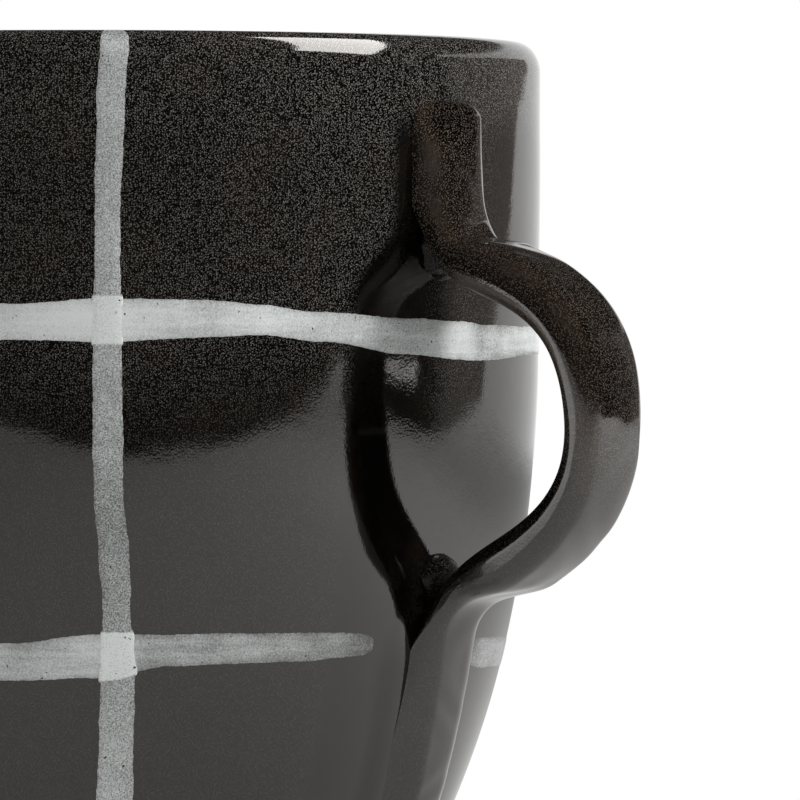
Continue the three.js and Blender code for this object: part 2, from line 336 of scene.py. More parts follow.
@dataclass(frozen=True)
class DarkGlaze:
    """Gloss near-black glaze with a fine grain that breaks to brown where it runs thin; its pale specks are
    painted glints.
    """

    name: str
    deep: Colour = (0.0009, 0.0007, 0.0006, 1.0)
    warm: Colour = (0.0045, 0.0028, 0.0018, 1.0)
    warm_from: Pair = (0.42, 0.68)
    thin: Colour = (0.02, 0.0115, 0.007, 1.0)
    mottle_scale: float = 130.0
    worn_from: Values = (0.3, 0.7, 0.35)
    worn_roughness: float = 0.4
    clay: Colour = (0.28, 0.22, 0.17, 1.0)
    clay_tooth: Colour = (0.4, 0.33, 0.27, 1.0)
    tooth_scale: float = 900.0
    clay_roughness: float = 0.7
    bare_height: Pair = (0.0009, 0.00054)
    bare_wobble: float = 0.0012
    ior: float = 1.66
    roughness: float = 0.05
    roughness_swing: Pair = (0.8, 1.25)
    grain_scale: float = 4000.0
    grain_height: float = 0.4e-5
    peel_scale: float = 420.0
    peel_height: float = 1.0e-5
    peel_from: Pair = (0.25, 0.8)
    # Colour of the pale specks, which are painted glints.
    speck: Colour = (0.2, 0.188, 0.174, 1.0)
    speck_scale: float = 5400.0
    speck_scatter: float = 0.85
    speck_size: Pair = (0.55, 0.1)
    speck_faintest: float = 0.35
    sheen: Colour = (1.0, 0.96, 0.925, 1.0)

    def material(self) -> Material:
        """Builds the glaze.

        Returns:
            A material that reads the points' thin_glaze and glint_specks values, whose specks are painted
            glints, and is bare clay under the foot.
        """
        material, sketch = new_material(self.name)
        place = sketch.object_place()
        grain = sketch.noise(place, self.grain_scale, detail=1.0)
        peel = sketch.noise(place, self.peel_scale)
        mottle = sketch.noise(place, self.mottle_scale, detail=3.0, rough=0.6)
        glaze = sketch.blend(sketch.ramp(mottle, *self.warm_from), self.deep, self.warm)
        worn = sketch.times(sketch.value_of("thin_glaze"), sketch.ramp(mottle, *self.worn_from))
        glaze = sketch.blend(worn, glaze, self.thin)
        # Painted glints: pale specks strewn over cells, scaled by the points' glint_specks value, stand for
        # the glints of the glaze's fine grain.
        strewn = {"Vector": place, "Scale": self.speck_scale, "Randomness": self.speck_scatter}
        cells = sketch.node("ShaderNodeTexVoronoi", strewn).outputs
        strength = sketch.ramp(cells["Color"], 0.0, 1.0, self.speck_faintest, 1.0)
        dots = sketch.times(sketch.ramp(cells["Distance"], *self.speck_size), strength)
        glaze = sketch.blend(sketch.times(dots, sketch.value_of("glint_specks")), glaze, self.speck)
        height = sketch.node("ShaderNodeSeparateXYZ", {0: place}).outputs[2]
        wobble = sketch.times(sketch.math("SUBTRACT", mottle, 0.5), self.bare_wobble)
        bare = sketch.ramp(sketch.math("ADD", height, wobble), *self.bare_height)
        tooth = sketch.noise(place, self.tooth_scale, detail=4.0, rough=0.7)
        tooth = sketch.blend(tooth, self.clay, self.clay_tooth)
        least, most = (self.roughness * swing for swing in self.roughness_swing)
        rough = sketch.ramp(peel, *self.peel_from, least, most)
        rough = sketch.math("MULTIPLY_ADD", bare, self.clay_roughness, rough)
        rough = sketch.math("MULTIPLY_ADD", worn, self.worn_roughness, rough)
        normal = sketch.bump(grain, self.grain_height, sketch.bump(peel, self.peel_height))
        colour = sketch.blend(bare, glaze, tooth)
        sketch.finish(sketch.gloss(
            Base_Color=colour, Roughness=rough, IOR=self.ior, Specular_Tint=self.sheen, Normal=normal))
        return material


@dataclass(frozen=True)
class PaleBrushwork:
    """Thin grey-white glaze with streaks along the brush's run and dark pinholes."""

    name: str
    run: Run
    thin: Colour = (0.055, 0.055, 0.052, 1.0)
    full: Colour = (0.75, 0.78, 0.77, 1.0)
    pit: Colour = (0.03, 0.028, 0.026, 1.0)
    pit_scale: float = 1900.0
    pit_from: Pair = (0.735, 0.775)
    along_scale: float = 120.0
    across_scale: float = 1500.0
    cloud_scale: float = 330.0
    grain_scale: float = 5500.0
    grain: float = 0.54
    streaks: float = 0.324
    clouds: float = 0.252
    grain_height: float = 0.5e-5
    streak_height: float = 1.2e-5
    roughness: float = 0.16
    ior: float = 1.5

    def material(self) -> Material:
        """Builds the brushwork.

        Returns:
            A material whose density follows the points' coat value.
        """
        material, sketch = new_material(self.name)
        place = sketch.object_place()
        flat, upright = self.along_scale, self.across_scale
        if self.run is Run.UP:
            flat, upright = upright, flat
        stretched = sketch.node("ShaderNodeMapping", {"Vector": place, "Scale": (flat, flat, upright)})
        streak = sketch.noise(stretched.outputs[0], scale=1.0, detail=3.0, rough=0.6)
        cloud = sketch.noise(place, self.cloud_scale, detail=3.0, rough=0.55)
        grain = sketch.noise(place, self.grain_scale, detail=1.0)
        density = sketch.value_of("coat")
        for texture, weight in ((streak, self.streaks), (cloud, self.clouds), (grain, self.grain)):
            density = sketch.math("MULTIPLY_ADD", sketch.math("SUBTRACT", texture, 0.5), weight, density)
        colour = sketch.blend(sketch.ramp(density, 0.0, 1.0), self.thin, self.full)
        holes = sketch.ramp(sketch.noise(place, self.pit_scale, detail=1.0), *self.pit_from)
        colour = sketch.blend(holes, colour, self.pit)
        normal = sketch.bump(grain, self.grain_height, sketch.bump(streak, self.streak_height))
        sketch.finish(sketch.gloss(Base_Color=colour, Roughness=self.roughness, IOR=self.ior, Normal=normal))
        return material


# The jug


@dataclass(frozen=True)
class Wall:
    """The jug's outer wall, which the tabs, the slip and the strokes are seated on."""

    radius: float = 50.0
    height: float = 100.0
    widest: float = 66.8
    foot_radius: float = 31.3
    lip_roll: float = 2.6
    lip_drop: float = 3.4
    slope_step: float = 0.01
    spout_reach: float = 7.9
    spout_lift: float = 1.45
    spout_length: float = 26.0
    spout_half_angle: float = math.radians(27.0)
    uneven: float = 0.02
    uneven_from: Pair = (4.0, 14.0)
    uneven_to: Pair = (88.0, 95.0)
    waves: tuple[Values, ...] = ((1.0, 5.0, 0.13, 0.0), (0.8, 9.0, -0.21, 1.3), (0.6, 14.0, 0.34, 2.1))
    press: float = 1.5
    press_turn: float = math.radians(18.0)
    press_height: float = 57.0
    press_length: float = 17.0
    smear: float = 0.58
    smear_reach: float = math.radians(5.2)
    smear_height: Pair = (40.6, 32.0)
    smear_end: Pair = (8.0, 14.0)
    smear_past: Pair = (0.07, 0.16)
    smear_line: Line = ((8.0, math.radians(-0.9)), (44.0, math.radians(-4.1)))

    @property
    def belly_depth(self) -> float:
        """Half height of the ellipse that the belly follows down to the foot."""
        return self.widest / math.sqrt(1.0 - (self.foot_radius / self.radius) ** 2)

    def profile(self, height: Array) -> Array:
        """Radius at a height: an ellipse, upright above the widest place, rolled in at the lip."""
        below = np.clip(self.widest - height, 0.0, None) / self.belly_depth
        belly = self.radius * np.sqrt(np.clip(1.0 - below**2, 0.0, None))
        roll = np.clip((height - self.height + self.lip_drop) / self.lip_drop, 0.0, 1.0)
        return belly - self.lip_roll * (1.0 - np.sqrt(1.0 - roll**2))

    def unevenness(self, turn: Array, height: Array) -> Array:
        """Small waves that a hand leaves in the wall, and what it did to the wall at the handle.

        The waves are sines of the turn and the height that fade out at the foot and at the lip. The flat
        behind the handle is a bell curve over the turn times one over the height. The smear beside the lower
        tab rises to the tab's near edge as a parabola, over a reach that grows downwards.

        Args:
            turn: Turns round the axis.
            height: Heights above the base.

        Returns:
            How far the wall stands out from its round profile.
        """
        fade = smoothstep(height, *self.uneven_from) * (1.0 - smoothstep(height, *self.uneven_to))
        aside = np.arctan2(np.sin(turn), np.cos(turn))
        flat = ((aside / self.press_turn) ** 2 + ((height - self.press_height) / self.press_length) ** 2) / 2
        past = aside - np.interp(height, *np.array(self.smear_line).T)
        grown = smoothstep(height, *self.smear_height)
        near = np.clip(1.0 + past / (self.smear_reach * grown + TINY), 0.0, 1.0)
        smear = near * (2.0 - near) * grown * (1.0 - smoothstep(past, *self.smear_past))
        smear = smear * smoothstep(height, *self.smear_end)
        waves = self.uneven * fade * sine_waves(self.waves, turn, height)
        return waves - self.press * np.exp(-flat) + self.smear * smear

    def place(self, turn: Array, height: Array, offset: Array | float = 0.0) -> Array:
        """Points on the wall, moved out along the profile's normal, with the lip drawn out.

        Args:
            turn: Turns round the axis.
            height: Heights on the wall before the move.
            offset: How far to move out.

        Returns:
            Points, with x, y and z last.
        """
        turn, height, offset = np.broadcast_arrays(turn, height, offset)
        step = self.slope_step
        slope = (self.profile(height + step) - self.profile(height - step)) / (2 * step)
        out = (offset + self.unevenness(turn, height)) / np.hypot(1.0, slope)
        radius = self.profile(height) + out
        return self.pull_lip(round_axis(radius, turn, height - out * slope))

    def pull_lip(self, points: Array) -> Array:
        """Draws points out and up around the pouring direction.

        The pull is a squared cosine across the lip's angle, times the squared share of the lip's length.

        Args:
            points: Points of the round wall, with x, y and z last.

        Returns:
            The drawn points.
        """
        x, y, z = np.moveaxis(points, -1, 0)
        side = np.clip(np.arctan2(y, -x) / self.spout_half_angle, -1.0, 1.0)
        share = np.clip(1.0 - (self.height - z) / self.spout_length, 0.0, 1.0)
        pull = np.cos(side * np.pi / 2) ** 2 * share**2
        grow = 1.0 + self.spout_reach * pull / np.maximum(np.hypot(x, y), TINY)
        return np.stack([x * grow, y * grow, z + self.spout_lift * pull], -1)


@dataclass
class JugBody:
    """The thrown body: flat base, floor, wall, rolled rim and pouring lip."""

    wall: Wall
    wall_thickness: float = 4.0
    floor: float = 6.0
    floor_corner: float = 7.0
    foot_edge: float = 2.0
    inner_lip_drop: float = 1.8
    throwing_pitch: float = 6.5
    throwing_depth: float = 0.07
    throwing_fade: tuple[Pair, Pair] = ((0.0, 8.0), (4.0, 14.0))
    rim_thin: float = 0.12
    rim_thin_drop: float = 0.8
    # Painted glints: the specks fade in over these heights, above the wall that mirrors the pale floor, grow
    # towards the rim and are taken away beside the handle.
    fade_heights: Pair = (54.0, 68.0)
    low_glint_specks: float = 0.25
    fade_waves: tuple[Values, ...] = ((2.0, 3.0, 0.0, 0.0), (1.5, 7.0, 0.0, 1.0))
    rim_run: Pair = (84.0, 95.0)
    rim_glint_specks: float = 0.35
    speckless: Line = ((-18.5, 1.0), (-16.5, 0.05), (-6.0, 0.05), (-2.0, 0.6), (7.0, 0.5), (13.0, 0.15),
                   (26.0, 0.15), (34.0, 1.0))
    speckless_step: float = 6.5
    speckless_rise: Pair = (72.0, 80.0)
    speckless_height: Pair = (88.0, 94.0)
    turns: int = 288
    wall_rows: int = 150
    lip_rows: int = 28
    inner_rows: int = 110
    inner_lip_rows: int = 16
    corner_rows: int = 12
    foot_rows: int = 10
    flat_rows: int = 9

    def outer_heights(self) -> Array:
        """Heights of the rows on the outer wall, closest together on the lip's roll."""
        lip = self.wall.height - self.wall.lip_drop
        rise = np.sin(np.linspace(0.0, np.pi / 2, self.lip_rows)[1:])
        side = np.linspace(self.foot_edge, lip, self.wall_rows)
        return np.concatenate([side, lip + self.wall.lip_drop * rise])

    def inner_profile(self) -> Array:
        """Radius and height from the rim's crest down the inside to the floor.

        The inner lip is a quarter ellipse, the inner wall is upright and then an ellipse one wall inside the
        belly's, with shallow rings as a cosine of the height, and a quadratic curve turns the corner.

        Returns:
            Rows of radius and height.
        """
        wall = self.wall
        inner, depth = wall.radius - self.wall_thickness, wall.belly_depth - self.wall_thickness
        crest, start = wall.radius - wall.lip_roll, wall.height - self.inner_lip_drop
        angle = np.linspace(0.0, np.pi / 2, self.inner_lip_rows)[1:]
        lip = np.stack([mix(crest, inner, np.sin(angle)), start + self.inner_lip_drop * np.cos(angle)], -1)
        top = self.floor + self.floor_corner
        height = np.linspace(start, top, self.inner_rows)[1:]
        below = np.clip(wall.widest - height, 0.0, None) / depth
        low, high = self.throwing_fade
        fade = smoothstep(height - top, *low) * smoothstep(start - height, *high)
        rings = self.throwing_depth * fade * np.cos(2 * np.pi * height / self.throwing_pitch)
        side = np.stack([inner * np.sqrt(1.0 - below**2) + rings, height], -1)
        corner = side[-1, 0]
        turned, flat = corner - self.floor_corner / 2, corner - self.floor_corner
        bend = curve(((corner, top), (turned, self.floor), (flat, self.floor)), self.corner_rows)[1:]
        floor = curve(((flat, self.floor), (0.0, self.floor)), self.flat_rows)[1:-1]
        return np.concatenate([lip, side, bend, floor])

    def foot_profile(self) -> Array:
        """Radius and height from the base's middle out to the foot's edge, which a quadratic curve rounds."""
        rim = self.wall.foot_radius - self.foot_edge
        end = (float(self.wall.profile(np.array(self.foot_edge))), self.foot_edge)
        flat = curve(((0.0, 0.0), (rim, 0.0)), self.flat_rows)[1:]
        bend = curve(((rim, 0.0), (self.wall.foot_radius, 0.0), end), self.foot_rows)[1:-1]
        return np.concatenate([flat, bend])

    def spin(self, rows: Array, turn: Array) -> Array:
        """Turns rows of radius and height round the axis, and draws out the lip."""
        return self.wall.pull_lip(round_axis(rows[:, :1], turn, rows[:, 1:]))

    def build(self) -> Object:
        """Turns the profile round the axis and draws out the lip.

        The glaze's pale specks are painted glints. They are faint low on the wall, where the glaze mirrors
        the pale floor, and beside the handle, where it mirrors the handle and the dark flag, and strongest at
        the rim.

        Returns:
            The body.
        """
        turn = np.linspace(0.0, 2 * np.pi, self.turns, endpoint=False)
        outer = self.wall.place(turn[None, :], self.outer_heights()[:, None])
        foot, inside = (self.spin(rows, turn) for rows in (self.foot_profile(), self.inner_profile()))
        points = np.concatenate([foot, outer, inside])
        height = points[..., 2]
        thin = np.exp(-(((height - self.wall.height) / self.rim_thin_drop) ** 2)) * self.rim_thin
        aside = np.broadcast_to(np.degrees(np.arctan2(np.sin(turn), np.cos(turn))), height.shape)
        # Painted glints: the specks are taken away beside the handle, where the wall mirrors the handle and
        # the dark flag.
        start = aside - self.speckless_step * smoothstep(height, *self.speckless_rise) * (aside < 0)
        speckless = 1.0 - np.interp(start, *np.array(self.speckless).T)
        speckless = speckless * (1.0 - smoothstep(height, *self.speckless_height))
        # Painted glints: the specks fade low on the wall, where it mirrors the pale floor.
        run = height + sine_waves(self.fade_waves, turn, height)
        glint_specks = mix(self.low_glint_specks, 1.0, smoothstep(run, *self.fade_heights)) * (1.0 - speckless)
        glint_specks = glint_specks * (1.0 + self.rim_glint_specks * smoothstep(height, *self.rim_run))
        poles = np.array([[0.0, 0.0, 0.0], [0.0, 0.0, self.floor]])
        values = {"thin_glaze": thin, "glint_specks": glint_specks}
        return surface("jug_body_glazed", points, wrap_columns=True, poles=poles, values=values)

    def dress(self, made: Object) -> None:
        """Glazes the body."""
        seat_piece(made, DarkGlaze("glaze_on_body").material(), "jug_body")


@dataclass
class StrapHandle:
    """The strap: two tabs on the wall and a loop for one finger between them."""

    wall: Wall
    width: float = 10.8
    upper_tab_width: float = 10.3
    lower_tab_width: float = 9.3
    width_sway: float = 0.12
    sway_waves: Waves = ((3, 5, 8), 11)
    thickness: float = 4.3
    arm_thickness: float = 5.5
    arm_run: float = 11.0
    corner_room: float = 0.62
    near_corner: float = 1.9
    arm_round: Pair = (2.8, 3.5)
    arm_height: Pair = (53.0, 65.0)
    upper_round: float = 2.8
    lower_round: float = 3.9
    lower_spread: float = 1.8
    spread_run: Pair = (2.0, 23.0)
    far_corner: float = 1.9
    far_round: Pair = (3.4, 2.8)
    inner_corner: float = 1.4
    under_round: float = 0.6
    under_share: float = 0.3
    bonded_corner: float = 0.3
    crown: float = 0.2
    tab_crown: float = 0.4
    slant: float = 0.6
    tab_thickness: float = 2.0
    tab_corner: float = 2.2
    tab_melt: float = 2.0
    near_melt: Pair = (1.0, 7.0)
    near_melt_side: Pair = (-0.35, 0.4)
    near_melt_depth: float = 0.85
    tab_end: float = -0.3
    sink: float = 1.4
    seat: float = 0.75
    foot_drop: float = 0.12
    least: float = 0.05
    upper_top: float = 93.0
    upper_elbow: float = 78.4
    upper_elbow_pull: float = 8.5
    upper_loop_pull: float = 13.8
    upper_swell: Pair = (-4.0, 8.5)
    upper_bond: Pair = (-4.0, 1.0)
    loop_radius: float = 67.35
    loop_middle: float = 60.3
    lower_loop_pull: float = 15.5
    lower_elbow_pull: float = 10.0
    lower_elbow: float = 37.5
    lower_swell: Pair = (-13.0, 1.0)
    lower_bond: Pair = (-4.0, 6.0)
    lower_end: float = 8.0
    upper_turn: float = math.radians(-2.2)
    lower_turn: float = math.radians(7.1)
    lean_ease: float = 1.6
    elbow_fillet: float = 2.4
    elbow_reach: float = 9.0
    # Painted glints: the specks fade on the lower loop, which mirrors the pale floor, and the worn edges fade
    # there as well.
    fade_heights: Pair = (50.0, 57.0)
    low_glint_specks: float = 0.35
    low_wear: float = 0.12
    wear_swing: float = 0.25
    wear_waves: Waves = ((6, 11, 19), 23)
    corner_wear: Values = (0.0, 1.0, 0.2, 0.2)
    lumps: float = 0.05
    lump_waves: Waves = ((5, 9, 14, 22), 17)
    lump_wander: Waves = ((4, 7), 19)
    lump_across: Triple = (0.6, 1.1, 6.0)
    steps: int = 560
    line_steps: tuple[int, int, int] = (120, 300, 200)
    corner_steps: int = 15
    face_steps: int = 10

    def lean(self, height: Array) -> Array:
        """Turn of the strap's middle round the axis, which grows downwards by a power of the share."""
        share = np.clip((self.upper_top - height) / (self.upper_top - self.lower_end), 0.0, 1.0)
        return mix(self.upper_turn, self.lower_turn, share**self.lean_ease)

    def wall_line(self, start: float, end: float, count: int) -> Array:
        """Radius and height of a line that follows the round wall at the seat's offset."""
        round_wall = Wall(uneven=0.0, press=0.0, smear=0.0)
        return round_wall.place(np.zeros(count), np.linspace(start, end, count), self.seat)[:, [0, 2]]

    def path(self) -> tuple[Array, Array, float, float]:
        """Inner face of the strap in the plane of radius and height.

        It follows the wall, leaves it on one cubic curve to the loop's middle and comes back on another.

        Returns:
            Evenly spaced points, the length at each, and the lengths where the loop starts and ends.
        """
        upper_steps, loop_steps, lower_steps = self.line_steps
        upper = self.wall_line(self.upper_top, self.upper_elbow, upper_steps)
        lower = self.wall_line(self.lower_elbow, self.lower_end, lower_steps)
        middle = np.array([self.loop_radius, self.loop_middle])
        down = np.array([0.0, -1.0])
        falling = lower[1] - lower[0]
        falling = falling / np.linalg.norm(falling)
        out = curve((upper[-1], upper[-1] + self.upper_elbow_pull * down,
                     middle - self.upper_loop_pull * down, middle), loop_steps)
        back = curve((middle, middle + self.lower_loop_pull * down,
                      lower[0] - self.lower_elbow_pull * falling, lower[0]), loop_steps)
        line = np.concatenate([upper, out[1:], back[1:], lower[1:]])
        length = np.concatenate([[0.0], np.cumsum(np.linalg.norm(np.diff(line, axis=0), axis=1))])
        along = np.linspace(0.0, length[-1], self.steps)
        spaced = np.stack([np.interp(along, length, line[:, i]) for i in range(2)], -1)
        return spaced, along, length[len(upper) - 1], length[-len(lower)]

    def fillet(self, line: Array, along: Array, elbows: Pair) -> Array:
        """Rounds a line's corners at the elbows by a running mean, weighted by a bell curve over its length.

        Args:
            line: Points of the outer face.
            along: Length of the path at each point.
            elbows: Lengths of the two elbows.

        Returns:
            The rounded line, unchanged away from the elbows.
        """
        weight = np.exp(-(((along[:, None] - along[None, :]) / self.elbow_fillet) ** 2) / 2)
        mean = (weight / weight.sum(axis=1, keepdims=True)) @ line
        near = sum(np.exp(-(((along - elbow) / self.elbow_reach) ** 4)) for elbow in elbows)
        return mix(line, mean, np.clip(near, 0.0, 1.0)[:, None])

    def build(self) -> Object:
        """Carries a rounded section along the path and wraps it round the axis.

        The section is a rectangle with elliptic corners and a slightly crowned outer face, which lies between
        the path and the outer face's own line. It swells from the tabs into the loop. On the tabs its inner
        corners are sharp and sunk into the wall, and both ends narrow as quarter circles and melt into it.
        The near side of the upper tab is one round, and that of the lower tab is smeared out on the wall.

        Returns:
            The handle.
        """
        path, along, loop_start, loop_end = self.path()
        whole, from_start, from_end = along[-1], along - loop_start, along - loop_end
        end = np.minimum(along, whole - along)
        rise, fall = smoothstep(from_start, *self.upper_swell), smoothstep(from_end, *self.lower_swell)
        swell = rise * (1.0 - fall)
        lower_bond = smoothstep(from_end, *self.lower_bond)
        bond = 1.0 - smoothstep(from_start, *self.upper_bond) * (1.0 - lower_bond)
        spread = smoothstep(from_end, *self.spread_run)
        lifted = smoothstep(path[:, 1], *self.arm_height) * rise

        # The two faces, and the width between the sides
        middle = smoothstep(np.minimum(from_start, -from_end), self.arm_run, (loop_end - loop_start) / 2)
        full = mix(self.tab_thickness, mix(self.arm_thickness, self.thickness, middle), swell)
        thick = mix(self.tab_end - self.seat, full, quarter_round(end / self.tab_melt))
        tangent = np.gradient(path, along, axis=0)
        tangent = tangent / np.linalg.norm(tangent, axis=1, keepdims=True)
        normal = np.stack([-tangent[:, 1], tangent[:, 0]], -1)
        outer = self.fillet(path + normal * thick[:, None], along, (loop_start, loop_end))
        inner = path - normal * (self.sink * bond)[:, None]
        depth = np.linalg.norm(outer - inner, axis=1)
        width = mix(mix(self.upper_tab_width, self.width, rise), self.lower_tab_width, fall)
        width = width + self.width_sway * ripple(along, whole, *self.sway_waves)
        width = width - 2 * self.tab_corner * (1.0 - quarter_round(end / self.tab_corner))

        # The corners, which leave room for each other
        room = self.corner_room * np.maximum(thick + self.seat * bond, 2 * self.least)
        slope = self.wall.unevenness(self.lean(path[:, 1]), path[:, 1])
        foot = np.maximum(self.sink * bond - self.seat + slope - self.foot_drop, self.least)
        bare = np.maximum(depth - foot, self.least)
        near = np.minimum(self.near_corner, room)
        near_deep = mix(near, np.minimum(self.arm_round[1], room), lifted)
        near_deep = mix(near_deep, np.maximum(bare, near_deep), np.maximum(1.0 - rise, spread))
        near = mix(mix(near, self.arm_round[0], lifted), self.upper_round, 1.0 - rise)
        near = mix(near, self.lower_round, spread)
        far = np.minimum(self.far_corner, room)
        far_deep = mix(far, np.minimum(self.far_round[1], bare), 1.0 - swell)
        far = mix(far, self.far_round[0], 1.0 - swell)
        inside = mix(self.inner_corner, self.bonded_corner, bond)
        under = inside * (1.0 + self.under_round * (1.0 - lifted) * (1.0 - bond))
        bends = [(far, far_deep), (near, near_deep), (under, under), (inside, inside)]
        across, out, edge = self.section(width, depth, bends, spread)

        # The slanted sides, the lumps, the crown and the melted end
        share, wide, tall = out / depth[:, None], width[:, None], depth[:, None]
        across = across * (1.0 + 2.0 * (self.slant * lower_bond)[:, None] / wide * (1.0 - share))
        high, pace, sway = self.lump_across
        wander = sway * ripple(along, whole, *self.lump_wander)[:, None]
        lump = ripple(along, whole, *self.lump_waves)[:, None] + high * np.sin(pace * across + wander)
        crown = self.crown * mix(self.tab_crown, 1.0, swell[:, None])
        bow = crown * np.minimum((2 * across / wide) ** 2, 1.0)
        share = share * (1.0 + (self.lumps * lump - bow) / tall)
        melted = (1.0 - smoothstep(along, *self.near_melt))[:, None]
        melted = melted * smoothstep(-across / wide, *self.near_melt_side)
        share = share * (1.0 - self.near_melt_depth * melted * (thick + self.seat)[:, None] / tall)

        radius, height = (mix(inner[:, [i]], outer[:, [i]], share) for i in range(2))
        turn = self.lean(height) + across / radius
        points = round_axis(radius, turn, height)
        worn = 1.0 - self.wear_swing * (1.0 - ripple(along, whole, *self.wear_waves))[:, None]
        # Painted glints: fewer specks on the lower loop, where the glaze mirrors the pale floor.
        upward = smoothstep(path[:, 1], *self.fade_heights)[:, None]
        below = (out < self.under_share * tall) * lifted[:, None]
        thin = np.maximum(edge * worn * mix(self.low_wear, 1.0, upward), below)
        glint_specks = np.broadcast_to(mix(self.low_glint_specks, 1.0, upward), thin.shape)
        values = {"thin_glaze": thin, "glint_specks": glint_specks}
        poles = points[[0, -1]].mean(axis=1)
        return surface("strap_handle_glazed", points, wrap_columns=True, poles=poles, values=values)

    def section(
        self, width: Array, depth: Array, bends: list[tuple[Array, Array]], spread: Array
    ) -> tuple[Array, Array, Array]:
        """Outline of the strap's section at every step of the path.

        Args:
            width: Width at each step.
            depth: Distance from the inner to the outer face at each step.
            bends: Radius across and out of each corner at each step, outer far and near, inner near and far.
            spread: How far the near side is smeared out, as a half wave of a cosine, at each step.

        Returns:
            Places across and out from the inner face, steps by points, and each point's share of worn edge.
        """
        count = self.corner_steps
        quarter = np.linspace(0.0, np.pi / 2, count)
        angles = np.concatenate([quarter + i * np.pi / 2 for i in range(4)])
        side = np.repeat([1.0, -1.0, -1.0, 1.0], count)
        high = np.repeat([True, True, False, False], count)
        smeared, tall = spread[:, None], depth[:, None]
        half = width[:, None] / 2 + self.lower_spread * smeared * (side < 0)
        wide, deep = (np.repeat(np.stack(bend, -1), count, axis=1) for bend in zip(*bends))
        across = side * (half - wide) + wide * np.cos(angles)
        out = np.where(high, tall - deep, deep) + deep * np.sin(angles)
        near = slice(count, 2 * count)
        step = np.linspace(0.0, 1.0, count)
        straight = (wide - half)[:, near] - wide[:, near] * step
        wave = tall - deep[:, near] * (1.0 - np.cos(np.pi * step)) / 2
        across[:, near] = mix(across[:, near], straight, smeared)
        out[:, near] = mix(out[:, near], wave, smeared)
        share = np.linspace(0.0, 1.0, self.face_steps + 2)[1:-1]
        pieces: list[tuple[Array, Array, Array]] = []
        for i, wear in enumerate(self.corner_wear):
            run, last, after = slice(i * count, (i + 1) * count), (i + 1) * count - 1, (i + 1) % 4 * count
            face = [mix(grid[:, [last]], grid[:, [after]], share) for grid in (across, out)]
            pieces.append((across[:, run], out[:, run], np.sin(2 * quarter) ** 2 * wear))
            pieces.append((*face, np.zeros_like(share)))
        return tuple(np.concatenate(parts, axis=-1) for parts in zip(*pieces))

    def dress(self, made: Object) -> None:
        """Glazes the handle."""
        # The handle's pale specks are warmer painted glints.
        glaze = DarkGlaze("glaze_on_handle", thin=(0.026, 0.014, 0.0075, 1.0), ior=1.74,
                          speck=(0.14, 0.116, 0.095, 1.0))
        seat_piece(made, glaze.material(), "strap_handle")


@dataclass
class SlipJoint:
    """Slip that holds a tab: a low fillet along its sides and end, and a lump in the corner at its elbow."""

    handle: StrapHandle
    name: str
    node: str
    top: float
    bottom: float
    tab_width: float
    lump_height: float
    lump_length: float
    lump_reach: float
    lump_inset: float = 1.6
    lump_thin: float = 0.8
    lump_glint_specks: float = 0.3
    margin: float = 0.6
    overlap: float = 0.4
    end_round: float = 2.0
    bite: float = 0.6
    climb: float = 0.5
    settle: float = 0.04
    sunk: float = 0.15
    waviness: float = 0.3
    wave_span: float = 40.0
    wave_counts: tuple[int, ...] = (3, 7, 11, 17)
    crumbs: float = 0.08
    crumb_waves: tuple[Values, ...] = ((1.0, 1.1, 1.3, 0.0), (1.0, 1.7, -1.9, 1.0))
    seed: int = 3
    rows: int = 300
    columns: int = 61

    def build(self) -> Object:
        """Lays the slip on the wall.

        Along the tab it rises with the square of the distance left in its margin. At the elbow it is a dome,
        the root of 1 less the squared shares of its length and its width, which ends inside the strap.

        Returns:
            The slip.
        """
        handle, wall = self.handle, self.handle.wall
        top = max(self.top + self.margin, self.lump_height + self.lump_length)
        bottom = min(self.bottom - self.margin, self.lump_height - self.lump_length)
        height = np.linspace(top, bottom, self.rows)[:, None]
        side = self.tab_width / 2
        across = (side + self.margin) * np.linspace(-1.0, 1.0, self.columns)[None, :]
        wave = ripple(height, self.wave_span, self.wave_counts, self.seed)
        margin = self.margin * (1.0 + self.waviness * wave)
        outside = np.clip((np.abs(across) - side + self.overlap) / margin, 0.0, 1.0)
        end = np.minimum(self.top + self.margin - height, height - self.bottom + self.margin)
        past_side = np.clip(np.abs(across) - side + self.end_round, 0.0, None)
        past_end = np.clip(self.end_round + self.margin - end, 0.0, None)
        round_end = np.clip(np.hypot(past_side, past_end) / (self.end_round + self.margin), 0.0, 1.0)
        pad = self.climb * np.minimum(1.0 - outside, 1.0 - round_end**3) ** 2 * (end > 0)
        path = handle.path()[0]
        path = path[np.abs(path[:, 1] - self.lump_height) < self.lump_length + self.end_round]
        path = path[np.argsort(path[:, 1])]
        gap = np.interp(height, path[:, 1], path[:, 0]) - wall.profile(height)
        away = ((height - self.lump_height) / self.lump_length) ** 2
        away = away + (across / (side - self.lump_inset)) ** 2
        away = away * (1.0 + self.crumbs * sine_waves(self.crumb_waves, across, height))
        fill = np.minimum(self.lump_reach * np.sqrt(np.clip(1.0 - away, 0.0, 1.0)), gap + self.bite)
        turn = handle.lean(height) + across / wall.profile(height)
        upper = wall.place(turn, height, np.maximum(pad, fill) - self.settle)
        lower = wall.place(turn, height, -self.sunk)
        lump = 1.0 * (fill > pad)
        # The lump takes thin glaze and a share of the pale specks, which are painted glints.
        return shell(self.name, upper, lower,
                     {"thin_glaze": self.lump_thin * lump, "glint_specks": self.lump_glint_specks * lump})

    def dress(self, made: Object) -> None:
        """Glazes the slip."""
        glaze = DarkGlaze("glaze_on_" + self.node, thin=(0.005, 0.0035, 0.0025, 1.0), ior=1.25)
        seat_piece(made, glaze.material(), self.node)


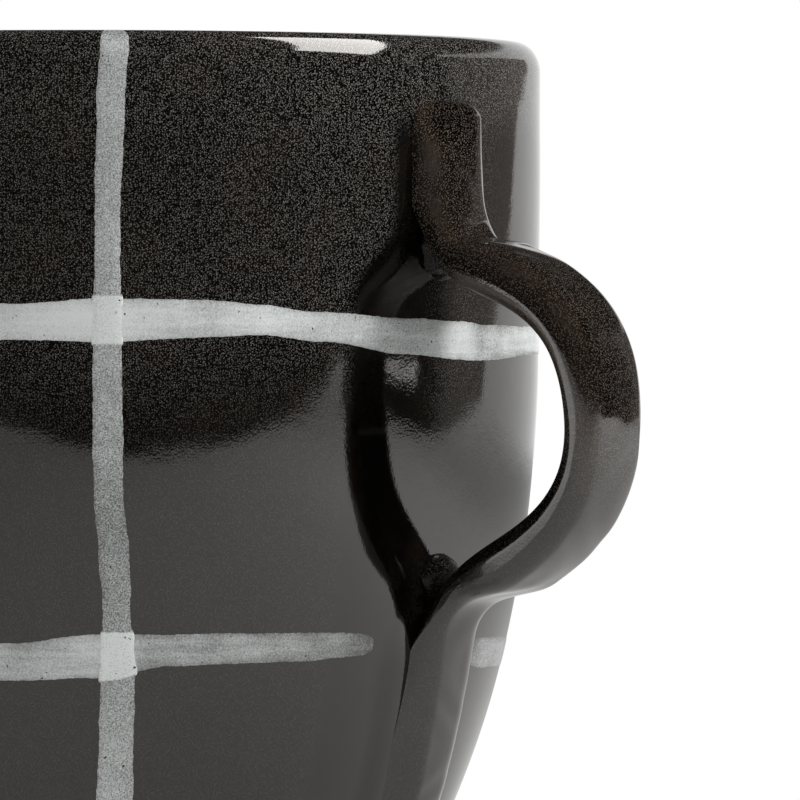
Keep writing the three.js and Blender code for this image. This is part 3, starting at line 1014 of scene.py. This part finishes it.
@dataclass
class Stroke:
    """A brushed coat on the wall: a low strip with ragged edges that sinks into the glaze at its sides."""

    wall: Wall
    name: str
    node: str
    seed: int
    thickness: float = 0.07
    sunk: float = 0.05
    underside: float = 0.03
    crown_power: float = 4.0
    ragged: float = 0.16
    ragged_counts: tuple[int, ...] = ()
    patchy: float = 0.1
    patch_counts: tuple[int, ...] = ()
    core: float = 0.3
    core_mean: float = 0.25
    core_power: float = 2.5
    edge_thin: float = 0.3
    edge_power: float = 9.0
    columns: int = 25

    @property
    def share(self) -> Array:
        """Places across the stroke, from -1 to 1."""
        return np.linspace(-1.0, 1.0, self.columns)[None, :]

    def between(self, at: Array, span: float, width: Array, taper: Array, seeds: tuple[int, int]) -> Array:
        """Distances from the stroke's middle, between two edges that ripple each on their own.

        Args:
            at: Places along the stroke.
            span: The length after which the ripples repeat.
            width: Width at each place.
            taper: Share of the width that is left at each place.
            seeds: Seeds of the low and the high edge.

        Returns:
            Distances, along by across.
        """
        low, high = (self.ragged * ripple(at, span, self.ragged_counts, seed) for seed in seeds)
        return (low + high) / 2 + (width + high - low) / 2 * self.share * taper

    def strip(self, edge: Array, coat: Array) -> tuple[Array, Array]:
        """Crown of the coat over its width.

        Args:
            edge: How full the coat is along the stroke, from 0 to 1.
            coat: The coat's density along the stroke.

        Returns:
            The coat's height over the wall, and its density.
        """
        away = np.abs(self.share)
        height = (self.thickness + self.sunk) * (1.0 - away**self.crown_power) * edge - self.sunk
        core = self.core * (self.core_mean - away**self.core_power) - self.edge_thin * away**self.edge_power
        return height, coat * (1.0 + core) * edge

    def lay(self, turn: Array, height: Array, rise: Array, density: Array, closed: bool) -> Object:
        """Lays the coat on the wall, as one shell.

        Args:
            turn: Turns round the axis.
            height: Heights on the wall.
            rise: The coat's height over the wall.
            density: The coat's density.
            closed: Whether the stroke's ends meet.

        Returns:
            The stroke.
        """
        upper = self.wall.place(turn, height, rise)
        lower = self.wall.place(turn, height, -self.sunk - self.underside)
        return shell(self.name, upper, lower, {"coat": density}, closed)


@dataclass
class RingStroke(Stroke):
    """A stroke that goes round the jug."""

    ragged_counts: tuple[int, ...] = (13, 23, 37, 61, 89, 131, 173, 211, 263, 307)
    patch_counts: tuple[int, ...] = (17, 29, 43, 71)
    turns: Values = ()
    heights: Values = ()
    widths: Values = ()
    coats: Values = ()
    gap: Pair | None = None
    end_width: float = 0.4
    end_length: float = 1.6
    end_coat: float = 0.45
    end_fade: float = 5.0
    steps: int = 1500

    def around(self, turn: Array, values: Values) -> Array:
        """Eases from knot to knot of the ring, all the way round, at turns in degrees."""
        wrapped = np.mod(turn - self.turns[0], 360.0) + self.turns[0]
        return ease_through(wrapped, (*self.turns, self.turns[0] + 360.0), (*values, values[0]))

    def build(self) -> Object:
        """Lays the ring on the wall, with edges that ripple and ends that thin out where it breaks.

        Returns:
            The ring.
        """
        closed = self.gap is None
        first, last = (0.0, 360.0) if closed else self.gap
        degrees = np.linspace(first, last, self.steps, endpoint=not closed)[:, None]
        taper = full = np.ones_like(degrees)
        if not closed:
            far = np.radians(np.minimum(degrees - first, last - degrees)) * self.wall.radius
            taper = mix(self.end_width, 1.0, quarter_round(far / self.end_length))
            full = mix(self.end_coat, 1.0, smoothstep(far, 0.0, self.end_fade))
        middle, width, coat = (self.around(degrees, v) for v in (self.heights, self.widths, self.coats))
        height = middle + self.between(degrees, 360.0, width, taper, (self.seed + 1, self.seed))
        patch = 1.0 + self.patchy * ripple(degrees, 360.0, self.patch_counts, self.seed + 2)
        rise, density = self.strip(full, coat * patch)
        return self.lay(np.radians(degrees), height, rise, density, closed)

    def dress(self, made: Object) -> None:
        """Paints the ring."""
        seat_piece(made, PaleBrushwork("pale_" + self.node, Run.ROUND).material(), self.node)


@dataclass
class UprightStroke(Stroke):
    """A stroke from the rim to the foot, brushed over the rings."""

    ragged_counts: tuple[int, ...] = (7, 13, 23, 37, 53, 71, 97, 127)
    patch_counts: tuple[int, ...] = (5, 9, 14, 21)
    patchy: float = 0.08
    core: float = 0.1
    angle: float = 0.0
    rings: tuple[RingStroke, ...] = ()
    knots: Values = (5.0, 30.0, 52.0, 75.0, 99.0)
    shifts: Values = (0.9, 0.8, -0.5, -0.6, 0.3)
    widths: Values = (4.2, 4.0, 3.5, 3.2, 3.5)
    coats: Values = (0.5, 0.45, 0.4, 0.47, 0.5)
    crossing: float = 0.86
    crossing_swing: float = 0.1
    crossing_edge: Pair = (-0.2, 0.25)
    lift: float = 0.01
    top: float = 99.97
    bottom: float = 5.0
    end_width: float = 0.8
    end_length: float = 0.8
    end_coat: float = 0.6
    end_fade: float = 1.5
    steps: int = 900

    def build(self) -> Object:
        """Lays the upright on the wall, lifted and denser where it passes over a ring.

        Returns:
            The upright.
        """
        height = np.linspace(self.top, self.bottom, self.steps)[:, None]
        span = self.top - self.bottom
        end = np.minimum(self.top - height, height - self.bottom)
        taper = mix(self.end_width, 1.0, quarter_round(end / self.end_length))
        full = mix(self.end_coat, 1.0, smoothstep(end, 0.0, self.end_fade))
        rows = (self.shifts, self.widths, self.coats)
        middle, width, coat = (ease_through(height, self.knots, values) for values in rows)
        across = middle + self.between(height, span, width, taper, (self.seed, self.seed + 1))
        turn = math.radians(self.angle) + across / self.wall.profile(height)
        coat = coat * (1.0 + self.patchy * ripple(height, span, self.patch_counts, self.seed + 2))
        rise, density = self.strip(full, coat)
        degrees = np.degrees(turn)
        for ring in self.rings:
            level, breadth = ring.around(degrees, ring.heights), ring.around(degrees, ring.widths)
            over = 1.0 - smoothstep(np.abs(height - level) - breadth / 2, *self.crossing_edge)
            rise = rise + over * (ring.thickness + self.lift)
            crossed = self.crossing * mix(1.0, density / coat, self.crossing_swing)
            density = np.maximum(density, over * crossed)
        return self.lay(turn, height, rise, density, closed=False)

    def dress(self, made: Object) -> None:
        """Paints the upright."""
        paint = PaleBrushwork("pale_" + self.node, Run.UP, grain=1.035, streaks=0.144, clouds=0.18,
                              grain_scale=6500.0)
        seat_piece(made, paint.material(), self.node)


# The studio


@dataclass
class Studio:
    """Pale floor, white backdrop, a dark flag, one soft lamp and the camera at the photograph's angle."""

    azimuth: float = math.radians(37.3)
    distance: float = 1.3
    eye: float = 0.0608
    aim_right: float = 0.0346
    lens: float = 532.3
    sensor: float = 36.0
    sight: float = 20.0
    floor_reach: float = 4.0
    floor_grid: tuple[int, int] = (41, 161)
    front: Line = (
        (-0.65, -3.99), (-0.6, 0.68), (-0.176, 0.477), (-0.044, 0.448), (0.14, 0.382), (0.26, 0.329),
        (0.37, 0.341), (0.557, 0.333), (0.66, 0.3), (1.05, 0.34), (4.0, 0.39))
    white_from: Pair = (0.24, 0.45)
    paper: tuple[Colour, Colour] = ((0.69, 0.69, 0.685, 1.0), (0.73, 0.73, 0.725, 1.0))
    paper_scale: float = 60.0
    # Where the paper glows in reflections alone: painted reflections.
    left_glow: Pair = (-0.1, -0.16)
    left_depth: Pair = (0.3, 0.2)
    left_power: float = 1.7
    right_glow: Pair = (0.5, 0.9)
    flag_aside: float = 0.25
    flag_back: Line = (
        (0.038, 0.02), (0.046, 0.1), (0.06, 0.11), (0.07, 0.165), (0.082, 0.2), (0.098, 0.24), (0.107, 0.34),
        (0.165, 0.37))
    flag_front: float = -0.1
    flag_dusk: Pair = (0.015, 0.05)
    flag_columns: int = 25
    glint_near: Pair = (0.001, 0.042)
    glint_up: Pair = (0.0503, 0.0529)
    glint_gap: float = 0.001
    glint_glow: float = 2.7
    card_side: Triple = (0.675, 0.07, 0.73)
    card_long: Triple = (-0.6, -0.7, 0.39)
    card_size: Pair = (0.22, 0.5)
    card_glow: float = 9.0
    backdrop_turn: Pair = (math.radians(75.0), 0.006)
    backdrop_top: Pair = (math.sin(math.radians(21.0)), 0.03)
    ambient: float = 0.6
    gloom: Colour = (0.035, 0.032, 0.03, 1.0)
    dusk: Colour = (0.23, 0.21, 0.195, 1.0)
    dusk_ahead: Pair = (-0.1, 0.3)
    dusk_height: Pair = (0.5, 0.25)
    lamp_side: Triple = (0.75, 0.11, 0.65)
    lamp_distance: float = 0.6
    lamp_size: Pair = (0.165, 0.46)
    lamp_power: float = 3.4
    parts: list[Object] = field(default_factory=list)

    @property
    def right(self) -> Vector:
        """The picture's right, level."""
        return Vector((math.cos(self.azimuth), math.sin(self.azimuth), 0.0))

    @property
    def toward(self) -> Vector:
        """Level direction from the jug to the camera."""
        return Vector((math.sin(self.azimuth), -math.cos(self.azimuth), 0.0))

    def build(self, shown_on: Object) -> None:
        """Sets up the floor, the light and the camera.

        Args:
            shown_on: The one piece that mirrors the bright card and the glowing oblong, which are painted
                highlights.
        """
        self.lay_floor("floor_near", True)
        self.lay_floor("floor_far", False)
        self.stand_flag()
        self.hang_card(shown_on)
        self.stand_glint(shown_on)
        self.hang_lamp()
        self.light_world()
        self.place_camera()

    def spot(self, aside: Array, toward: Array, up: Array) -> Array:
        """Points in millimetres from distances to the right, towards the camera and up, in metres."""
        level = aside[..., None] * np.array(self.right) + toward[..., None] * np.array(self.toward)
        return (level + up[..., None] * np.array([0.0, 0.0, 1.0])) / MM

    def lay_floor(self, name: str, near: bool) -> None:
        """Lays one stretch of floor, behind or before the line where the paper under the jug ends.

        A point is a share of the way from that line to the floor's far edge.

        Args:
            name: Name of the stretch.
            near: Whether it is the paper that the jug stands on, which shows in the glaze.
        """
        rows, columns = self.floor_grid
        across = np.linspace(-self.floor_reach, self.floor_reach, columns)
        far = -self.floor_reach if near else self.floor_reach
        line = np.interp(across, *np.array(self.front).T)
        depth = mix(line, far, np.linspace(0.0, 1.0, rows)[:, None])
        made = surface(name, self.spot(np.broadcast_to(across, depth.shape), depth, np.zeros_like(depth)))
        made.visible_glossy = near
        material, sketch = new_material(name + "_paper")
        place = sketch.object_place()
        length = sketch.node("ShaderNodeVectorMath", {0: place}, operation="LENGTH").outputs["Value"]
        rays = sketch.node("ShaderNodeLightPath").outputs
        seen = sketch.math("MAXIMUM", rays["Is Camera Ray"], rays["Is Transmission Ray"])
        fade = sketch.times(sketch.ramp(length, *self.white_from), seen)
        # Painted reflections: reflections alone see the paper glow white to the left of the jug, up to 1.7
        # times as bright, and far to the right.
        aside, before = (sketch.dot(place, tuple(way)) for way in (self.right, self.toward))
        left = sketch.times(sketch.ramp(aside, *self.left_glow), sketch.ramp(before, *self.left_depth))
        left = sketch.times(left, rays["Is Glossy Ray"])
        right = sketch.times(sketch.ramp(aside, *self.right_glow), rays["Is Glossy Ray"])
        fade = sketch.math("MAXIMUM", fade, sketch.math("MAXIMUM", left, right))
        power = sketch.math("MULTIPLY_ADD", left, self.left_power - 1.0, 1.0)
        paper = sketch.blend(sketch.noise(place, self.paper_scale, detail=3.0), *self.paper)
        plain = sketch.node("ShaderNodeBsdfDiffuse", {"Color": paper}).outputs[0]
        white = sketch.glow(WHITE, power).outputs[0]
        sketch.finish(sketch.node("ShaderNodeMixShader", {0: fade, 1: plain, 2: white}))
        made.data.materials.append(material)
        self.parts.append(made)

    def mirrored_sheet(self, name: str, points: Array) -> tuple[Object, Sketch]:
        """Makes a sheet that only reflections show, with an empty material."""
        # Painted reflection: the sheet lights nothing and casts no shadow, and only reflections show it.
        made = surface(name, points)
        for kind in ("camera", "diffuse", "shadow", "transmission"):
            setattr(made, "visible_" + kind, False)
        material, sketch = new_material(name + "_paper")
        made.data.materials.append(material)
        self.parts.append(made)
        return made, sketch

    def light_sheet(self, name: str, points: Array, glow: float, shown_on: Object) -> None:
        """Makes a shining sheet that only one piece mirrors.

        Args:
            name: Name of the sheet.
            points: Its grid of points.
            glow: How brightly it shines.
            shown_on: The one piece that mirrors it.
        """
        made, sketch = self.mirrored_sheet(name, points)
        sketch.finish(sketch.glow(WHITE, glow))
        made.light_linking.receiver_collection = bpy.data.collections.new("mirrors_the_" + name)
        made.light_linking.receiver_collection.objects.link(shown_on)

    def stand_flag(self) -> None:
        """Stands a dark flag to the right of the jug, an upright sheet along the view.

        Its back edge leans away as a line through given points, and it is darker at its front.
        """
        height, edge = np.array(self.flag_back).T
        depth = mix(self.flag_front, edge[:, None], np.linspace(0.0, 1.0, self.flag_columns))
        height = np.broadcast_to(height[:, None], depth.shape)
        points = self.spot(np.full_like(depth, self.flag_aside), -depth, height)
        _, sketch = self.mirrored_sheet("dark_flag", points)
        away = sketch.dot(sketch.object_place(), tuple(-self.toward))
        # Painted reflection: the flag glows dim, darker at its front, and lights and shades nothing.
        shade = sketch.blend(sketch.ramp(away, *self.flag_dusk), self.gloom, self.dusk)
        sketch.finish(sketch.glow(shade, 1.0))

    def hang_card(self, shown_on: Object) -> None:
        """Hangs the bright card up on the right, a painted highlight that shows as the patch on the rim.

        It is a flat rectangle square to its direction, with a given long edge.

        Args:
            shown_on: The one piece that mirrors it.
        """
        way, long = (np.array(Vector(side).normalized()) for side in (self.card_side, self.card_long))
        long = long - way * (long @ way)
        long = long / np.linalg.norm(long)
        short = np.cross(long, way)
        share = np.array([-0.5, 0.5])
        place = way * self.lamp_distance + short * self.card_size[0] * share[:, None, None]
        place = place + long * self.card_size[1] * share[None, :, None] + np.array([0.0, 0.0, self.eye])
        self.light_sheet("bright_card", self.spot(*np.moveaxis(place, -1, 0)), self.card_glow, shown_on)

    def stand_glint(self, shown_on: Object) -> None:
        """Stands a small glowing oblong before the flag, which only one piece mirrors, under the upper ring:
        a painted highlight.
        """
        toward, up = np.meshgrid(self.glint_near, self.glint_up)
        aside = np.full_like(up, self.flag_aside - self.glint_gap)
        self.light_sheet("glowing_oblong", self.spot(aside, toward, up), self.glint_glow, shown_on)

    def hang_lamp(self) -> None:
        """Hangs the soft lamp up on the right, turned to the jug."""
        data = bpy.data.lights.new("softbox", "AREA")
        data.shape = "RECTANGLE"
        data.size, data.size_y = self.lamp_size
        data.energy = self.lamp_power
        lamp = bpy.data.objects.new("softbox", data)
        side, near, up = self.lamp_side
        way = (self.right * side + self.toward * near + Vector((0.0, 0.0, up))).normalized()
        lamp.location = way * self.lamp_distance + Vector((0.0, 0.0, self.eye))
        lamp.rotation_euler = way.to_track_quat("Z", "Y").to_euler()
        lamp.visible_camera = False
        lamp.visible_glossy = False
        bpy.context.scene.collection.objects.link(lamp)

    def light_world(self) -> None:
        """Lights the scene evenly, with a white background and dim surroundings before the jug.

        Camera rays see white. Reflections see the low white backdrop between two turns to the left and right
        of the view, and elsewhere a dim room that is darkest overhead and towards the camera. All else gets
        an even light.
        """
        world = bpy.data.worlds.new("studio")
        world.use_nodes = True
        world.cycles.sampling_method = "NONE"
        sketch = Sketch(world.node_tree)
        way = sketch.node("ShaderNodeTexCoord").outputs["Generated"]
        aside, ahead = (sketch.dot(way, tuple(side)) for side in (self.right, -self.toward))
        height = sketch.dot(way, (0.0, 0.0, 1.0))
        turn = sketch.math("ABSOLUTE", sketch.math("ARCTAN2", aside, ahead))
        limits = ((turn, *self.backdrop_turn), (height, *self.backdrop_top))
        backdrop = sketch.times(*(sketch.ramp(at, end + soft, end - soft) for at, end, soft in limits))
        lit = sketch.times(sketch.ramp(ahead, *self.dusk_ahead), sketch.ramp(height, *self.dusk_height))
        mirrored = sketch.blend(backdrop, sketch.blend(lit, self.gloom, self.dusk), WHITE)
        rays = sketch.node("ShaderNodeLightPath").outputs
        colour = (self.ambient, self.ambient, self.ambient, 1.0)
        for kind, shown in (("Glossy", mirrored), ("Transmission", WHITE), ("Camera", WHITE)):
            colour = sketch.blend(rays[f"Is {kind} Ray"], colour, shown)
        light = sketch.node("ShaderNodeBackground", {"Color": colour, "Strength": 1.0})
        sketch.node("ShaderNodeOutputWorld", {"Surface": light.outputs[0]})
        bpy.context.scene.world = world

    def place_camera(self) -> None:
        """Puts a level camera at the photograph's distance and turn, with its long lens."""
        data = bpy.data.cameras.new("camera")
        data.sensor_width = self.sensor
        data.lens = self.lens
        data.clip_end = self.sight
        camera = bpy.data.objects.new("camera", data)
        eye = Vector((0.0, 0.0, self.eye))
        camera.location = self.toward * self.distance + eye
        aim = self.right * self.aim_right + eye
        camera.rotation_euler = (aim - camera.location).to_track_quat("-Z", "Y").to_euler()
        bpy.context.scene.collection.objects.link(camera)
        bpy.context.scene.camera = camera


def main() -> None:
    """Builds the jug, piece by piece, and the studio around it."""
    logging.basicConfig(level=logging.INFO, format="%(name)s %(message)s")
    bpy.context.scene.view_settings.view_transform = "Standard"
    wall = Wall()
    body = JugBody(wall)
    handle = StrapHandle(wall)
    joints = [
        SlipJoint(handle, "upper_slip_glazed", "upper_slip_joint", top=91.6, bottom=78.4, tab_width=10.3,
                  lump_height=77.0, lump_length=3.4, lump_reach=2.7),
        SlipJoint(handle, "lower_slip_glazed", "lower_slip_joint", top=37.5, bottom=8.0, tab_width=9.6,
                  lump_height=41.6, lump_length=2.5, lump_reach=1.9, crumbs=0.04, seed=5),
    ]
    rings = (
        RingStroke(
            wall, "upper_ring_brushed", "upper_ring_stroke", 21,
            turns=(-128.0, -95.0, -63.0, -49.7, -38.6, -31.0, -22.8, -8.0, 3.4, 8.5, 28.8, 70.0, 120.0, 170.0,
                   200.0),
            heights=(67.2, 68.2, 69.05, 69.25, 69.4, 69.3, 68.6, 67.6, 67.2, 67.0, 67.3, 68.9, 67.3, 68.8,
                     68.0),
            widths=(4.2, 4.4, 4.4, 5.2, 4.5, 3.8, 3.5, 4.4, 4.8, 4.3, 3.4, 4.0, 4.3, 3.9, 4.4),
            coats=(0.7, 0.75, 0.78, 0.8, 0.63, 0.63, 0.58, 0.46, 0.7, 0.42, 0.5, 0.7, 0.65, 0.72, 0.7),
        ),
        RingStroke(
            wall, "lower_ring_brushed", "lower_ring_stroke", 35, gap=(12.6, 349.8),
            turns=(-128.0, -95.0, -63.1, -50.9, -40.9, -22.9, -13.1, 20.0, 60.0, 110.0, 160.0, 200.0),
            heights=(34.6, 33.2, 33.0, 33.6, 34.3, 34.4, 34.55, 33.3, 33.2, 34.6, 33.3, 34.2),
            widths=(4.3, 4.0, 4.5, 5.3, 3.8, 3.5, 2.9, 3.7, 3.9, 4.2, 3.8, 4.3),
            coats=(0.6, 0.6, 0.52, 0.56, 0.41, 0.37, 0.34, 0.3, 0.55, 0.6, 0.55, 0.6),
        ),
    )
    first, pitch = 48.9, 43.7
    uprights = [
        UprightStroke(wall, f"upright_{i + 1}_brushed", f"upright_stroke_{i + 1}", 50 + 7 * i,
                      angle=first + pitch * i, rings=rings)
        for i in range(7)
    ]
    seen = uprights[-1]
    seen.knots = (5.0, 18.5, 31.2, 39.7, 44.9, 50.2, 55.5, 62.9, 72.4, 81.9, 92.5, 99.6)
    seen.shifts = (0.4, 0.4, 0.45, 0.19, -0.2, -0.76, -0.88, -0.98, -0.98, -0.93, -0.61, -0.14)
    seen.widths = (4.5, 4.4, 4.1, 3.4, 3.7, 3.6, 3.6, 3.6, 3.2, 3.1, 3.5, 3.4)
    seen.coats = (0.5, 0.5, 0.45, 0.36, 0.33, 0.34, 0.42, 0.49, 0.49, 0.5, 0.5, 0.52)
    made: list[Object] = []
    for part in [body, handle, *joints, *rings, *uprights]:
        made.append(part.build())
        part.dress(made[-1])
    Studio().build(made[0])


if __name__ == "__main__":
    main()
